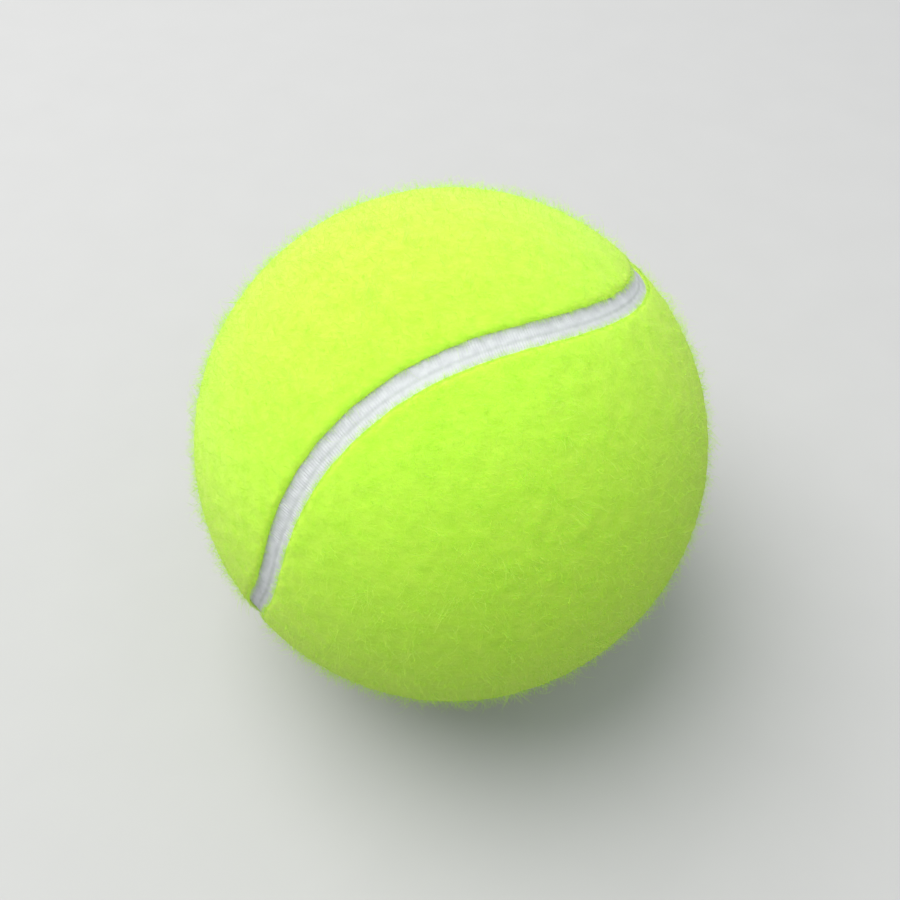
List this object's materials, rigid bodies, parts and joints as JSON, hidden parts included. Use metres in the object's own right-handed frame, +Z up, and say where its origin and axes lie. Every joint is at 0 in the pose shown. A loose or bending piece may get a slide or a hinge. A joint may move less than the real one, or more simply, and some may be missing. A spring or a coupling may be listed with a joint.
{
  "type": "tennis ball",
  "caption": "Hollow rubber ball in two bonded halves, covered by two interlocking napped felt panels with a pale recessed seam, for racket sports and play.",
  "frame": {"origin": "the ball's centre", "axes": "+Z up as the ball lies on a floor, -Z to the point where it touches the floor, +X to the right and +Y away in the pictured view"},
  "size_m": [0.067, 0.067, 0.067],
  "materials": {
    "core_rubber": "matte moulded rubber",
    "bond_cement": "cured cement",
    "felt_cement": "dried cement film",
    "felt": "brushed napped felt",
    "seam_rubber": "matte, finely ribbed across"
  },
  "bodies": {
    "root": {"core_half_lower": "core_rubber", "core_half_upper": "core_rubber", "core_bond_ring": "bond_cement", "felt_cement_a": "felt_cement", "felt_cement_b": "felt_cement", "felt_panel_a": "felt", "felt_panel_b": "felt", "seam_coat_a": "seam_rubber", "seam_coat_b": "seam_rubber"}
  },
  "joints": []
}
